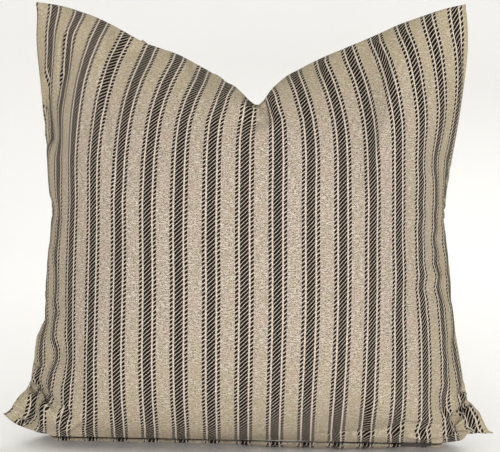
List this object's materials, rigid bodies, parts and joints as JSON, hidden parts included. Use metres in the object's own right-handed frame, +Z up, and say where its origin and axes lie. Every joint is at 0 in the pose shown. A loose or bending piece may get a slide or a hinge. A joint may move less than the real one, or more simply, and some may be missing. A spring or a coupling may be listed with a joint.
{
  "type": "throw pillow",
  "caption": "Square throw pillow standing on its bottom edge, with a striped ticking cover, dented top edge, pointed corners and a concealed zip that opens the bottom seam.",
  "frame": {"origin": "on the surface the pillow stands on, at the middle of the bounding box's width and depth", "axes": "+X to the right across the pillow as seen from the front, +Y towards its back, +Z up; the front panel faces -Y"},
  "size_m": [0.4893, 0.2536, 0.438],
  "materials": {
    "ticking": "woven cotton ticking, black stripes on heathered beige",
    "sewing_thread": "matt spun polyester thread",
    "zip_tape": "woven polyester tape",
    "zip_coil": "nylon coil",
    "zip_metal": "dark enamelled zinc",
    "casing_cotton": "downproof white cotton",
    "filling_fibre": "loose feather and fibre"
  },
  "bodies": {
    "pillow": {"cover_front_panel": "ticking", "cover_back_panel": "ticking", "cover_needle_thread": "sewing_thread", "cover_bobbin_thread": "sewing_thread", "cover_overlock_thread": "sewing_thread", "zip_tape_front": "zip_tape", "zip_tape_back": "zip_tape", "zip_coil_front": "zip_coil", "zip_coil_back": "zip_coil", "zip_stitch_front": "sewing_thread", "zip_stitch_back": "sewing_thread", "zip_bottom_stop": "zip_metal", "zip_top_stop_front": "zip_metal", "zip_top_stop_back": "zip_metal", "insert_casing_front": "casing_cotton", "insert_casing_back": "casing_cotton", "insert_closing_thread": "sewing_thread", "insert_filling": "filling_fibre"},
    "slider": {"zip_slider": "zip_metal"},
    "pull": {"zip_pull": "zip_metal"}
  },
  "joints": [
    {"name": "zip_slide", "type": "slide", "parent": "pillow", "child": "slider", "axis": [-1, 0, 0], "range_m": [0, 0.348]},
    {"name": "pull_swing", "type": "hinge", "parent": "slider", "child": "pull", "pos_m": [0.173, -0.06294, 0.012], "axis": [0, 0, 1], "range_deg": [0, 175]}
  ]
}
